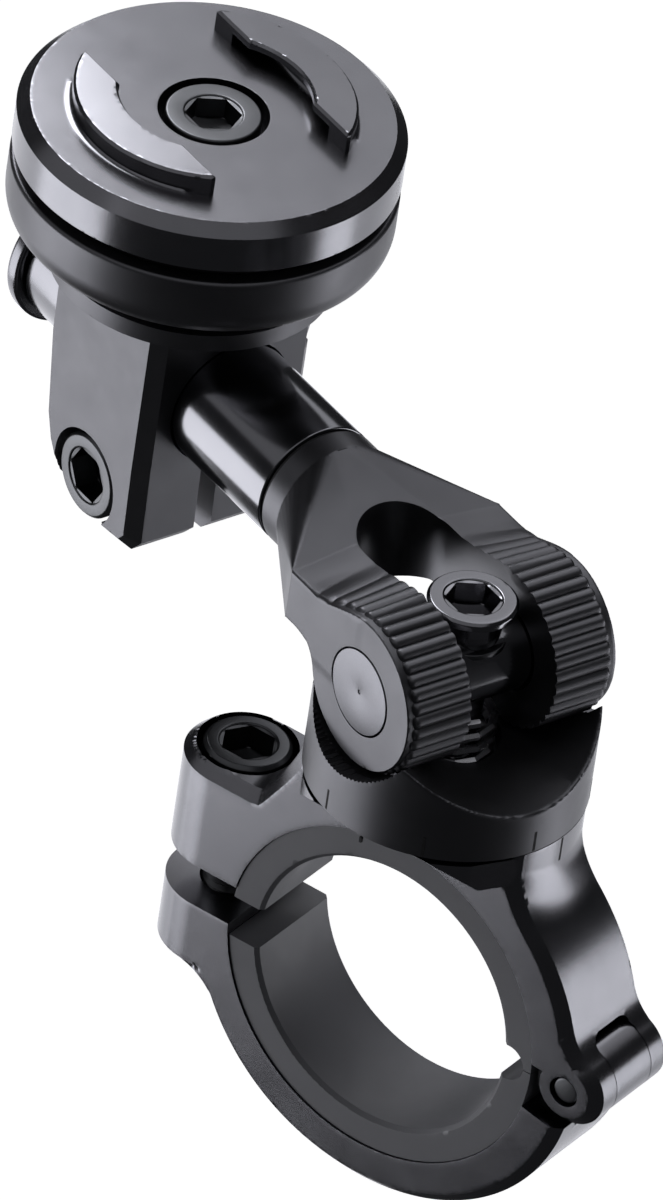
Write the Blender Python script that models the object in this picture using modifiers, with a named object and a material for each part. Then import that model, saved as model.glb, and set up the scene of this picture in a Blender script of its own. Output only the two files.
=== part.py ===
"""Handlebar phone mount: hinged bar clamp, toothed swivel, tilting fork, tube arm and bayonet head.

World frame: origin at the centre of the handlebar bore, +Y along the handlebar, +Z up,
+X towards the clamp hinge.  The upper works are modelled in a swivel frame with the arm
along -X and the cross axle along Y, then turned by SWIVEL_REST about +Z.
Sizes below are in millimetres; MM converts them to metres.
"""
import math

import bmesh
import bpy
from mathutils import Matrix, Vector

MM = 0.001
GAP = 0.3                        # clearance kept between pieces that touch

# Handlebar clamp
BORE_R = 14.3                    # 28.6 mm handlebar
LINER_R = 17.35
LINER_HALF_WIDTH = 5.8
CLAMP_R_IN = LINER_R + GAP
CLAMP_R_OUT = 22.1
CLAMP_HALF_WIDTH = 6.0
HINGE_X, HINGE_Z = 21.57, 0.46
HINGE_EAR_R = 3.9
HINGE_HALF_GAP = 3.0             # half width of the window between the two ears
KNUCKLE_HALF_WIDTH = HINGE_HALF_GAP - GAP
PIN_R = 1.45
HINGE_FILLET_R = 6.0
LUG_X = -21.96                   # vertical clamp bolt
LUG_R = 6.0
UPPER_LUG_BOTTOM, UPPER_LUG_TOP = 3.2, 14.6
LOWER_LUG_BOTTOM, LOWER_LUG_TOP = -9.0, -1.27
LOWER_END_ANGLE = -11.9          # where the lower ring stops short of the hinge
SADDLE_FILLET_R = 5.0            # between the upper lug and the platform

# Screws (M5) and their inserts
BOLT_HEAD_R = 4.3
SHANK_R = 2.5
SOCKET_R = 2.35                  # hexagon socket, centre to corner
HOLE_R = 2.8
INSERT_R = 3.9
INSERT_HOLE_R = INSERT_R + GAP

# Swivel platform and cradle
SWIVEL_REST = -19.15             # degrees about +Z
PLATFORM_R = 13.64
PLATFORM_TOP = 23.05
PLATFORM_FOOT = 17.4             # the flare starts here, at the clamp's own width
FLARE_SLOPE = 0.89               # height gained for each millimetre of overhang
BASE_BOTTOM = PLATFORM_TOP + GAP
BASE_TOP = 32.6
AXLE_Z = 36.76
EAR_R = 8.2
CRADLE_R = EAR_R + GAP
SADDLE_SCOOP_R = 16.0
SADDLE_FLOOR = 27.9

# Fork and arm
EAR_INNER, EAR_OUTER = 4.9, 12.02
AXLE_R = 4.2
TUBE_Z = 39.7
TUBE_R = 6.5
FORK_END = 24.6                  # distance of the fork collar from the swivel axis
SLOT_END = 15.5
SPIGOT_R = 4.5
TUBE_START = 25.7
TUBE_END = 64.7
CAP_R = 7.45
CAP_THICKNESS = 1.9

# Head
HEAD_D = 48.3                    # head axis, measured along the arm
BLOCK_HALF_DEPTH = 8.2
BLOCK_HALF_WIDTH = 9.5
BLOCK_BORE_R = 7.6
SLIT_HALF_WIDTH = 1.25
PINCH_Z = 28.3
FLANGE_R = 13.3
FLANGE_BOTTOM, FLANGE_TOP = 49.8, 51.7
NECK_BOTTOM, NECK_R = 52.7, 12.0
DISC_R = 18.58
LOWER_DISC_TOP = 61.52
UPPER_DISC_BOTTOM, HEAD_FACE = 63.08, 68.0
DISC_CHAMFER = 1.18
TAB_HEIGHT = 2.3
TAB_R_OUT, TAB_R_IN, TAB_CHORD = 13.6, 8.8, 7.5
COUNTERBORE_R = 5.4

SIDES = 48
SMALL_SIDES = 24

BLACK_ANODISED = ("black_anodised", (0.045, 0.045, 0.05), 0.38, 0.9)
BLACK_STEEL = ("black_steel", (0.035, 0.036, 0.038), 0.42, 0.9)
LINER_PLASTIC = ("liner_plastic", (0.06, 0.062, 0.066), 0.6, 0.0)
RUBBER = ("rubber", (0.015, 0.015, 0.016), 0.8, 0.0)
BRASS = ("brass", (0.55, 0.42, 0.2), 0.35, 1.0)
SPRING_STEEL = ("spring_steel", (0.45, 0.45, 0.46), 0.3, 1.0)


def clear_scene():
    """Empty the file without reading factory settings."""
    for obj in list(bpy.data.objects):
        bpy.data.objects.remove(obj, do_unlink=True)


def make_collection(name):
    """Return a new collection linked to the scene."""
    collection = bpy.data.collections.new(name)
    bpy.context.scene.collection.children.link(collection)
    return collection


def material(recipe):
    """Return the Principled material that a recipe (name, colour, roughness, metallic) names."""
    name, colour, roughness, metallic = recipe
    mat = bpy.data.materials.get(name)
    if mat is None:
        mat = bpy.data.materials.new(name)
        mat.use_nodes = True
        shader = mat.node_tree.nodes["Principled BSDF"]
        shader.inputs["Base Color"].default_value = (*colour, 1.0)
        shader.inputs["Roughness"].default_value = roughness
        shader.inputs["Metallic"].default_value = metallic
    return mat


class Group:
    """A joint's empty.  Pieces are given in its frame's own millimetres, measured from `origin`."""

    def __init__(self, name, parent=None, pivot=(0.0, 0.0, 0.0), turn=0.0):
        self.pivot = Vector(pivot)
        self.empty = bpy.data.objects.new(name, None)
        self.empty.empty_display_size = 5 * MM
        PARTS.objects.link(self.empty)
        offset = self.pivot
        if parent is not None:
            self.empty.parent = parent.empty
            offset = self.pivot - parent.pivot
        self.empty.location = offset * MM
        self.empty.rotation_euler.z = math.radians(turn)

    def add(self, obj, centre, axis=(0.0, 0.0, 1.0)):
        """Parent an object to the empty, with its own Z along `axis` and its origin at `centre`."""
        obj.parent = self.empty
        obj.rotation_mode = "QUATERNION"
        obj.rotation_quaternion = Vector((0, 0, 1)).rotation_difference(Vector(axis))
        obj.location = (Vector(centre) - self.pivot) * MM
        return obj


def register(name, mesh, recipe):
    """Make the object that holds a mesh: a part when it has a material recipe, or a cutter."""
    obj = bpy.data.objects.new(name, mesh)
    if recipe is None:
        CUTTERS.objects.link(obj)
        obj.hide_render = True
        obj.display_type = "WIRE"
    else:
        PARTS.objects.link(obj)
        mesh.materials.append(material(recipe))
    return obj


def shade(mesh):
    """Smooth the round faces and keep the corners crisp."""
    mesh.shade_smooth()
    mesh.set_sharp_from_angle(angle=math.radians(32))


def finish_bmesh(bm, name, recipe):
    """Write a bmesh to a shaded object."""
    mesh = bpy.data.meshes.new(name)
    bm.to_mesh(mesh)
    bm.free()
    shade(mesh)
    return register(name, mesh, recipe)


def cylinder(name, radius, start, end, group, recipe=None, sides=SIDES, end_radius=None):
    """A cylinder, or a cone, between two points."""
    start, end = Vector(start), Vector(end)
    top = radius if end_radius is None else end_radius
    bm = bmesh.new()
    bmesh.ops.create_cone(bm, cap_ends=True, segments=sides, radius1=radius * MM,
                          radius2=top * MM, depth=(end - start).length * MM)
    obj = finish_bmesh(bm, name, recipe)
    return group.add(obj, (start + end) / 2, end - start)


def block(name, low, high, group, recipe=None):
    """An upright box between two corners."""
    low, high = Vector(low), Vector(high)
    bm = bmesh.new()
    bmesh.ops.create_cube(bm, size=1.0)
    bmesh.ops.scale(bm, vec=(high - low) * MM, verts=bm.verts)
    obj = finish_bmesh(bm, name, recipe)
    return group.add(obj, (low + high) / 2)


def turned(name, profile, group, origin=(0.0, 0.0, 0.0), axis=(0.0, 0.0, 1.0), recipe=None,
           sides=SIDES, closed=True):
    """Turn a (radius, height) profile about an axis; it runs down the outer side first."""
    mesh = bpy.data.meshes.new(name)
    points = [(radius * MM, 0.0, height * MM) for radius, height in profile]
    edges = [(i, i + 1) for i in range(len(points) - 1)]
    if closed:
        edges.append((len(points) - 1, 0))
    mesh.from_pydata(points, edges, [])
    obj = register(name, mesh, recipe)
    screw = obj.modifiers.new("turn", "SCREW")
    screw.angle = math.tau
    screw.steps = sides
    screw.render_steps = sides
    screw.use_merge_vertices = True
    screw.merge_threshold = 0.00001
    screw.use_smooth_shade = False
    return group.add(obj, origin, axis)


def ring(name, inner, outer, bottom, top, group, origin=(0.0, 0.0, 0.0), axis=(0.0, 0.0, 1.0),
         recipe=None, sides=SMALL_SIDES):
    """A plain washer or bush."""
    profile = [(outer, top), (outer, bottom), (inner, bottom), (inner, top)]
    return turned(name, profile, group, origin, axis, recipe, sides)


def plate(name, outline, half_thickness, group, origin=(0.0, 0.0, 0.0), recipe=None, upright=True):
    """Extrude a flat outline.  Upright plates lie in X-Z, the others in X-Y."""
    curve = bpy.data.curves.new(name, "CURVE")
    curve.dimensions = "2D"
    curve.fill_mode = "BOTH"
    curve.extrude = half_thickness * MM
    spline = curve.splines.new("POLY")
    spline.points.add(len(outline) - 1)
    for point, (a, b) in zip(spline.points, outline):
        point.co = (a * MM, b * MM, 0.0, 1.0)
    spline.use_cyclic_u = True
    source = bpy.data.objects.new(name + "_outline", curve)
    PARTS.objects.link(source)
    depsgraph = bpy.context.evaluated_depsgraph_get()
    mesh = bpy.data.meshes.new_from_object(source.evaluated_get(depsgraph))
    mesh.name = name
    bpy.data.objects.remove(source, do_unlink=True)
    bm = bmesh.new()
    bm.from_mesh(mesh)
    bmesh.ops.remove_doubles(bm, verts=bm.verts, dist=0.000001)
    if upright:
        bmesh.ops.rotate(bm, cent=(0, 0, 0), matrix=Matrix.Rotation(math.pi / 2, 3, "X"), verts=bm.verts)
    bmesh.ops.recalc_face_normals(bm, faces=bm.faces)
    bm.to_mesh(mesh)
    bm.free()
    mesh.materials.clear()
    shade(mesh)
    return group.add(register(name, mesh, recipe), origin)


def hull(name, points, group, recipe=None):
    """The convex solid round a set of points, given in the group's frame."""
    bm = bmesh.new()
    for point in points:
        bm.verts.new((Vector(point) - group.pivot) * MM)
    result = bmesh.ops.convex_hull(bm, input=bm.verts)
    spare = [v for v in result["geom_interior"] if isinstance(v, bmesh.types.BMVert)]
    bmesh.ops.delete(bm, geom=spare, context="VERTS")
    bmesh.ops.recalc_face_normals(bm, faces=bm.faces)
    return group.add(finish_bmesh(bm, name, recipe), group.pivot)


def combine(target, operation, *tools):
    """Add one exact Boolean modifier for each tool."""
    for tool in tools:
        modifier = target.modifiers.new(tool.name, "BOOLEAN")
        modifier.operation = operation
        modifier.solver = "EXACT"
        modifier.object = tool
    return target


def cut(target, *tools):
    return combine(target, "DIFFERENCE", *tools)


def join(target, *tools):
    return combine(target, "UNION", *tools)


def arc(centre, radius, start, end, steps):
    """Points of an arc, from one angle to another, in degrees."""
    angles = [math.radians(start + (end - start) * i / steps) for i in range(steps + 1)]
    return [(centre[0] + radius * math.cos(a), centre[1] + radius * math.sin(a)) for a in angles]


def fillet_between(centre_a, radius_a, centre_b, radius_b, radius, side):
    """Centre of the concave fillet that touches two circles from outside."""
    base = Vector(centre_b) - Vector(centre_a)
    reach_a, reach_b = radius_a + radius, radius_b + radius
    cosine = (reach_a ** 2 + base.length ** 2 - reach_b ** 2) / (2 * reach_a * base.length)
    angle = math.atan2(base.y, base.x) + side * math.acos(cosine)
    return (centre_a[0] + reach_a * math.cos(angle), centre_a[1] + reach_a * math.sin(angle))


def bearing(origin, target):
    """Direction from one point to another, in degrees."""
    return math.degrees(math.atan2(target[1] - origin[1], target[0] - origin[0]))


def hinge_blend(side):
    """Arc from the ring's outer circle to the hinge ear, above (side 1) or below (side -1)."""
    hinge = (HINGE_X, HINGE_Z)
    centre = fillet_between((0, 0), CLAMP_R_OUT, hinge, HINGE_EAR_R, HINGE_FILLET_R, side)
    to_ring = bearing(centre, (0, 0)) % 360
    to_ear = bearing(centre, hinge) % 360
    return centre, arc(centre, HINGE_FILLET_R, to_ring, to_ear, 8)


def socket_screw(name, group, origin, axis, head_height, length, head_r=BOLT_HEAD_R, socket=2.8):
    """An M5 cap screw whose head's top face is at `origin`, pointing along `axis`."""
    edge = 0.4
    profile = [(0.0, 0.0), (head_r - edge, 0.0), (head_r, -edge), (head_r, -head_height),
               (SHANK_R, -head_height), (SHANK_R, edge - length), (SHANK_R - edge, -length),
               (0.0, -length)]
    screw = turned(name, profile, group, origin, axis, BLACK_STEEL, SMALL_SIDES, closed=False)
    unit = Vector(axis).normalized()
    drive = cylinder(name + "_socket", SOCKET_R, Vector(origin) + unit, Vector(origin) - unit * socket,
                     group, sides=6)
    return cut(screw, drive)


def build_upper_clamp(base):
    """Upper half of the bar clamp with the bolt lug, the hinge ears and the swivel platform."""
    blend_centre, blend = hinge_blend(1)
    hinge = (HINGE_X, HINGE_Z)
    lug_angle = 180 - math.degrees(math.asin(UPPER_LUG_BOTTOM / CLAMP_R_IN))
    hinge_angle = math.degrees(math.asin(HINGE_Z / CLAMP_R_IN))
    wall_x = 12.4
    ring_top = math.degrees(math.acos(wall_x / CLAMP_R_OUT))
    outline = arc((0, 0), CLAMP_R_IN, lug_angle, hinge_angle, 26)
    outline += arc(hinge, HINGE_EAR_R, 180, 360 + bearing(hinge, blend_centre), 18)
    outline += blend[::-1][1:-1]
    outline += arc((0, 0), CLAMP_R_OUT, bearing((0, 0), blend_centre), ring_top, 8)
    outline += [(wall_x - 2, PLATFORM_TOP - 1), (-wall_x, PLATFORM_TOP - 1)]
    fillet_centre = (-wall_x - SADDLE_FILLET_R, UPPER_LUG_TOP + SADDLE_FILLET_R)
    outline += arc(fillet_centre, SADDLE_FILLET_R, 0, -90, 8)
    outline += [(LUG_X, UPPER_LUG_TOP), (LUG_X, UPPER_LUG_BOTTOM)]
    clamp = plate("upper_clamp", outline, CLAMP_HALF_WIDTH, base, recipe=BLACK_ANODISED)
    lug = cylinder("upper_lug", LUG_R, (LUG_X, 0, UPPER_LUG_BOTTOM), (LUG_X, 0, UPPER_LUG_TOP), base)
    join(clamp, lug, build_platform(base))
    half = HINGE_HALF_GAP
    cut(clamp,
        cylinder("clamp_bore", CLAMP_R_IN, (0, -20, 0), (0, 20, 0), base, sides=64),
        block("hinge_window", (16.5, -half, -6), (27, half, 5.3), base),
        cylinder("pin_hole", PIN_R + GAP, (HINGE_X, -9, HINGE_Z), (HINGE_X, 9, HINGE_Z), base,
                 sides=SMALL_SIDES),
        cylinder("bolt_hole", HOLE_R, (LUG_X, 0, 0), (LUG_X, 0, 20), base, sides=SMALL_SIDES),
        cylinder("bolt_counterbore", 4.9, (LUG_X, 0, 9.0), (LUG_X, 0, 20), base, sides=SMALL_SIDES),
        cylinder("insert_hole", INSERT_HOLE_R, (0, 0, 12), (0, 0, 30), base, sides=SMALL_SIDES),
        ring("friction_groove", 7.7, 10.2, PLATFORM_TOP - 1.05, PLATFORM_TOP + 2, base, sides=SIDES))
    return clamp


def build_platform(base):
    """Round swivel platform whose front and back slope in to the width of the clamp."""
    platform = cylinder("platform", PLATFORM_R, (0, 0, PLATFORM_FOOT), (0, 0, PLATFORM_TOP), base)
    points = []
    for z in (PLATFORM_FOOT - 1, PLATFORM_TOP + 1):
        y = CLAMP_HALF_WIDTH + (z - PLATFORM_FOOT) / FLARE_SLOPE
        for x_side in (-1, 1):
            for y_side in (-1, 1):
                points.append((x_side * 20, y_side * y, z))
    return combine(platform, "INTERSECT", hull("flare", points, base))


def build_lower_clamp(jaw):
    """Lower half of the bar clamp with its bolt lug and the centre knuckle of the hinge."""
    fillet_r = 3.0
    fillet_z = LOWER_LUG_BOTTOM - fillet_r
    fillet_x = -math.sqrt((CLAMP_R_OUT + fillet_r) ** 2 - fillet_z ** 2)
    lug_angle = 180 + math.degrees(math.asin(-LOWER_LUG_TOP / CLAMP_R_IN))
    ring_start = bearing((0, 0), (fillet_x, fillet_z)) % 360
    outline = [(LUG_X, LOWER_LUG_TOP), (LUG_X, LOWER_LUG_BOTTOM)]
    outline += arc((fillet_x, fillet_z), fillet_r, 90, ring_start - 180, 5)[1:]
    outline += arc((0, 0), CLAMP_R_OUT, ring_start, 360 + LOWER_END_ANGLE, 20)[1:]
    outline += arc((0, 0), CLAMP_R_IN, 360 + LOWER_END_ANGLE, lug_angle, 26)
    clamp = plate("lower_clamp", outline, CLAMP_HALF_WIDTH, jaw, recipe=BLACK_ANODISED)
    lug = cylinder("lower_lug", LUG_R, (LUG_X, 0, LOWER_LUG_BOTTOM), (LUG_X, 0, LOWER_LUG_TOP), jaw)
    blend_centre, blend = hinge_blend(-1)
    tongue_outline = arc((0, 0), CLAMP_R_IN, LOWER_END_ANGLE - 4, -1.5, 3)
    tongue_outline += [(HINGE_X, HINGE_Z)]
    tongue_outline += blend[::-1]
    tongue_outline += arc((0, 0), CLAMP_R_OUT, bearing((0, 0), blend_centre), -20, 1)[1:]
    tongue_outline += [(19.0, -6.5)]
    tongue = plate("tongue", tongue_outline, KNUCKLE_HALF_WIDTH, jaw)
    knuckle = cylinder("knuckle", HINGE_EAR_R, (HINGE_X, -KNUCKLE_HALF_WIDTH, HINGE_Z),
                       (HINGE_X, KNUCKLE_HALF_WIDTH, HINGE_Z), jaw)
    join(clamp, lug, tongue, knuckle)
    cut(clamp,
        cylinder("jaw_bore", CLAMP_R_IN, (0, -20, 0), (0, 20, 0), jaw, sides=64),
        cylinder("jaw_pin_hole", PIN_R + GAP, (HINGE_X, -9, HINGE_Z), (HINGE_X, 9, HINGE_Z), jaw,
                 sides=SMALL_SIDES),
        cylinder("jaw_insert_hole", INSERT_HOLE_R, (LUG_X, 0, -12), (LUG_X, 0, 2), jaw,
                 sides=SMALL_SIDES))
    return clamp


def build_liner(name, group, start, end, lug_height, hinge_height):
    """One half of the bar liner, trimmed level at the lug and at the hinge relief notch."""
    outline = arc((0, 0), LINER_R, start, end, 28) + arc((0, 0), BORE_R, end, start, 28)
    liner = plate(name, outline, LINER_HALF_WIDTH, group, recipe=LINER_PLASTIC)
    side = 1 if lug_height > 0 else -1
    lug_low, lug_high = sorted((lug_height, lug_height - side * 20))
    hinge_low, hinge_high = sorted((hinge_height, hinge_height - side * 20))
    return cut(liner,
               block(name + "_lug_trim", (-30, -9, lug_low), (-5, 9, lug_high), group),
               block(name + "_hinge_trim", (5, -9, hinge_low), (30, 9, hinge_high), group),
               cylinder(name + "_notch", 1.9, (14.8, -9, 0.25), (14.8, 9, 0.25), group,
                        sides=SMALL_SIDES))


def build_clamp(base, jaw, bolt):
    """Everything that closes round the handlebar."""
    build_upper_clamp(base)
    build_lower_clamp(jaw)
    build_liner("liner_upper", base, -4, 184, 2.0, 0.4)
    build_liner("liner_lower", jaw, 176, 364, -2.5, 0.1)
    cylinder("hinge_pin", PIN_R, (HINGE_X, -5.7, HINGE_Z), (HINGE_X, 5.7, HINGE_Z), base,
             BLACK_STEEL, SMALL_SIDES)
    ring("clamp_washer", HOLE_R, 4.6, 9.3, 9.8, base, (LUG_X, 0, 0), recipe=BLACK_STEEL)
    ring("clamp_insert", 3.25, INSERT_R, -8.6, -2.0, jaw, (LUG_X, 0, 0), recipe=BRASS)
    socket_screw("clamp_bolt", bolt, (LUG_X, 0, 14.9), (0, 0, 1), 4.8, 21.1)
    ring("swivel_insert", HOLE_R, INSERT_R, 18.3, 22.6, base, recipe=BRASS)
    ring("swivel_friction_ring", 8.0, 9.9, PLATFORM_TOP - 0.75, PLATFORM_TOP - 0.05, base,
         recipe=LINER_PLASTIC, sides=SIDES)


def build_swivel(swivel):
    """Turntable with the cradle that the fork's ears sit in, and the spring below the axle."""
    base = cylinder("swivel_base", PLATFORM_R, (0, 0, BASE_BOTTOM), (0, 0, BASE_TOP), swivel,
                    BLACK_ANODISED)
    cut(base,
        cylinder("cradle", CRADLE_R, (0, -20, AXLE_Z), (0, 20, AXLE_Z), swivel),
        cylinder("scoop", SADDLE_SCOOP_R, (-20, 0, SADDLE_FLOOR + SADDLE_SCOOP_R),
                 (20, 0, SADDLE_FLOOR + SADDLE_SCOOP_R), swivel, sides=64),
        cylinder("base_bore", HOLE_R, (0, 0, 20), (0, 0, 40), swivel, sides=SMALL_SIDES),
        cylinder("spring_pocket", 4.6, (0, 0, 25.0), (0, 0, 40), swivel, sides=SMALL_SIDES))
    build_spring(swivel)


def build_spring(swivel):
    """Coil that lifts the axle when the tension bolt is slackened."""
    turns, radius, bottom, top = 4, 3.7, 25.8, 31.7
    steps = turns * 12
    curve = bpy.data.curves.new("lift_spring", "CURVE")
    curve.dimensions = "3D"
    curve.bevel_depth = 0.45 * MM
    curve.bevel_resolution = 1
    curve.use_fill_caps = True
    curve.materials.append(material(SPRING_STEEL))
    spline = curve.splines.new("POLY")
    spline.points.add(steps)
    for i, point in enumerate(spline.points):
        angle = math.tau * turns * i / steps
        height = bottom + (top - bottom) * i / steps
        point.co = (radius * math.cos(angle) * MM, radius * math.sin(angle) * MM, height * MM, 1.0)
    spring = bpy.data.objects.new("lift_spring", curve)
    PARTS.objects.link(spring)
    swivel.add(spring, (0, 0, 0))


def build_axle(carriage, tension):
    """Cross axle, the sleeve in its bolt hole and the tension bolt."""
    axle = cylinder("cross_axle", AXLE_R, (0, -8.6, AXLE_Z), (0, 8.6, AXLE_Z), carriage,
                    BLACK_ANODISED, 32)
    cut(axle,
        cylinder("axle_bolt_hole", HOLE_R, (0, 0, 30), (0, 0, 45), carriage, sides=SMALL_SIDES),
        cylinder("axle_counterbore", 3.8, (0, 0, 39.2), (0, 0, 45), carriage, sides=SMALL_SIDES))
    ring("tension_sleeve", HOLE_R, 3.5, 39.5, 41.7, carriage, recipe=BLACK_STEEL)
    top, rim, cone = 44.03, 42.9, 42.0
    profile = [(0, top), (4.0, top), (4.33, top - 0.35), (4.33, rim), (3.1, cone), (SHANK_R, cone),
               (SHANK_R, 19.4), (2.1, 19.0), (0, 19.0)]
    bolt = turned("tension_bolt", profile, tension, recipe=BLACK_STEEL, sides=SMALL_SIDES,
                  closed=False)
    cut(bolt, cylinder("tension_socket", 2.6, (0, 0, 41.4), (0, 0, 46), tension, sides=6))


def build_fork(arm):
    """Fork with two round toothed ears, a slot for the tension bolt and a socket for the tube."""
    neck_start, waist, root = 22.3, 12.3, 3.0
    corners = [(side * y, TUBE_Z + up * z) for side in (-1, 1) for up in (-1, 1)
               for y, z in ((EAR_OUTER, 2.7), (EAR_INNER, 3.65))]
    round_end = [(-neck_start, y, z) for y, z in arc((0, TUBE_Z), TUBE_R, 0, 345, 23)]
    waist_section = [(-waist, y, z) for y, z in corners]
    neck = hull("neck", round_end + waist_section, arm)
    arms = hull("arms", waist_section + [(-root, y, z) for y, z in corners], arm)
    fork = cylinder("fork", EAR_R, (0, -EAR_OUTER, AXLE_Z), (0, EAR_OUTER, AXLE_Z), arm,
                    BLACK_ANODISED)
    collar = cylinder("collar", TUBE_R, (-FORK_END, 0, TUBE_Z), (-10, 0, TUBE_Z), arm)
    join(fork, neck, arms, collar)
    slot_half = EAR_INNER
    slot_end_r = 4.4
    slot_centre = -SLOT_END + slot_end_r
    cut(fork,
        block("slot", (slot_centre - 0.5, -slot_half, 20), (20, slot_half, 60), arm),
        cylinder("slot_end", slot_end_r, (slot_centre, 0, 20), (slot_centre, 0, 60), arm,
                 sides=32),
        cylinder("axle_bore", AXLE_R + GAP, (0, -20, AXLE_Z), (0, 20, AXLE_Z), arm, sides=32),
        cylinder("tube_socket", SPIGOT_R + GAP, (-30, 0, TUBE_Z), (-18.4, 0, TUBE_Z), arm, sides=32))
    for name, side in (("axle_cap_left", -1), ("axle_cap_right", 1)):
        cylinder(name, AXLE_R, (0, side * 8.9, AXLE_Z), (0, side * 12.0, AXLE_Z), arm,
                 BLACK_ANODISED, 32)


def build_tube(arm):
    """Arm tube, the seal ring at the fork and the plug that ends the tube."""
    wall_r = 4.8
    outward = (-1, 0, 0)
    start = (0, 0, TUBE_Z)
    profile = [(0, -TUBE_START + 6.5), (SPIGOT_R, -TUBE_START + 6.5), (SPIGOT_R, -TUBE_START),
               (TUBE_R, -TUBE_START), (TUBE_R, -TUBE_END), (wall_r, -TUBE_END), (wall_r, -31.0),
               (0, -31.0)]
    turned("arm_tube", profile, arm, start, (1, 0, 0), BLACK_ANODISED, 40, closed=False)
    ring("collar_ring", SPIGOT_R + GAP, TUBE_R - 0.25, FORK_END + 0.25, TUBE_START - 0.25, arm,
         start, outward, RUBBER, 40)
    near = TUBE_END + GAP
    cap = [(0, near + CAP_THICKNESS), (CAP_R - 0.4, near + CAP_THICKNESS),
           (CAP_R, near + CAP_THICKNESS - 0.4), (CAP_R, near), (wall_r - GAP, near),
           (wall_r - GAP, 55.0), (0, 55.0)]
    turned("tube_end_cap", cap, arm, start, outward, BLACK_ANODISED, 40, closed=False)


def build_head_block(slider, block_group, pinch):
    """Split clamp block that slides and turns on the arm, with its pinch bolt."""
    ring("tube_sleeve", TUBE_R + GAP, BLOCK_BORE_R - GAP, HEAD_D - 7.6, HEAD_D + 7.6, slider,
         (0, 0, TUBE_Z), (-1, 0, 0), LINER_PLASTIC, 40)
    front, back = -HEAD_D + BLOCK_HALF_DEPTH, -HEAD_D - BLOCK_HALF_DEPTH
    bottom = 24.6
    outline = [(back, FLANGE_TOP - 1), (back, 40.4), (back + 1.1, 33.0), (back + 2.2, 28.9),
               (back + 4.0, 26.3), (back + 6.6, bottom), (front - 1.6, bottom),
               (front, bottom + 1.6), (front, FLANGE_TOP - 1)]
    body = plate("head_block", outline, BLOCK_HALF_WIDTH, block_group, recipe=BLACK_ANODISED)
    flange = cylinder("flange", FLANGE_R, (-HEAD_D, 0, FLANGE_BOTTOM), (-HEAD_D, 0, FLANGE_TOP),
                      block_group)
    join(body, flange)
    wide = 20
    cut(body,
        cylinder("tube_bore", BLOCK_BORE_R, (-HEAD_D - wide, 0, TUBE_Z), (-HEAD_D + wide, 0, TUBE_Z),
                 block_group),
        block("slit", (-HEAD_D - wide, -SLIT_HALF_WIDTH, 15),
              (-HEAD_D + wide, SLIT_HALF_WIDTH, TUBE_Z - 5), block_group),
        block("jaw_relief", (-HEAD_D - wide, 8.6, 43.4), (-HEAD_D + wide, wide, 45.4), block_group),
        cylinder("pinch_hole", HOLE_R, (-HEAD_D, -wide, PINCH_Z), (-HEAD_D, wide, PINCH_Z),
                 block_group, sides=SMALL_SIDES),
        cylinder("pinch_counterbore", 4.75, (-HEAD_D, -wide, PINCH_Z), (-HEAD_D, -4.0, PINCH_Z),
                 block_group, sides=SMALL_SIDES),
        cylinder("pinch_insert_hole", INSERT_HOLE_R, (-HEAD_D, 3.0, PINCH_Z),
                 (-HEAD_D, wide, PINCH_Z), block_group, sides=SMALL_SIDES),
        cylinder("head_insert_hole", INSERT_HOLE_R, (-HEAD_D, 0, 44), (-HEAD_D, 0, 60),
                 block_group, sides=SMALL_SIDES))
    along = (0, 1, 0)
    centre = (-HEAD_D, 0, PINCH_Z)
    ring("pinch_washer", HOLE_R, 4.4, -4.7, -4.3, block_group, centre, along, BLACK_STEEL)
    ring("pinch_insert", HOLE_R, INSERT_R, 3.4, 9.2, block_group, centre, along, BRASS)
    socket_screw("pinch_bolt", pinch, (-HEAD_D, -9.6, PINCH_Z), (0, -1, 0), 4.6, 18.0)
    top = (-HEAD_D, 0, 0)
    ring("head_insert", HOLE_R, INSERT_R, 47.8, FLANGE_TOP - 0.2, block_group, top, recipe=BRASS)
    ring("head_washer", 3.2, 11.2, FLANGE_TOP + GAP, NECK_BOTTOM - GAP, block_group, top,
         recipe=RUBBER, sides=SIDES)


def build_head(head, head_screw):
    """Turning head: lower disc, damping ring, bayonet disc with two tabs, and centre bolt."""
    centre = (-HEAD_D, 0, 0)
    edge = DISC_R
    lower = [(edge - 0.3, LOWER_DISC_TOP), (edge, LOWER_DISC_TOP - 0.3), (edge, 58.2),
             (edge - 0.6, 57.0), (edge - 1.9, 56.2), (NECK_R + 0.8, 54.4), (NECK_R, 53.8),
             (NECK_R, NECK_BOTTOM), (HOLE_R + 0.4, NECK_BOTTOM), (HOLE_R + 0.4, LOWER_DISC_TOP)]
    turned("head_base", lower, head, centre, recipe=BLACK_ANODISED)
    ring("damper_ring", 8.0, DISC_R - 1.4, LOWER_DISC_TOP + GAP, UPPER_DISC_BOTTOM - GAP, head,
         centre, recipe=RUBBER, sides=SIDES)
    upper = [(edge - DISC_CHAMFER, HEAD_FACE), (edge, HEAD_FACE - DISC_CHAMFER),
             (edge, UPPER_DISC_BOTTOM), (HOLE_R, UPPER_DISC_BOTTOM), (HOLE_R, 64.0),
             (COUNTERBORE_R, 64.0), (COUNTERBORE_R, HEAD_FACE)]
    disc = turned("head_plate", upper, head, centre, recipe=BLACK_ANODISED)
    for side, label in ((-1, "left"), (1, "right")):
        join(disc, build_tab(head, side, label))
    socket_screw("head_bolt", head_screw, (-HEAD_D, 0, 67.7), (0, 0, 1), 3.4, 19.2, 4.4, 2.2)


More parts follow.
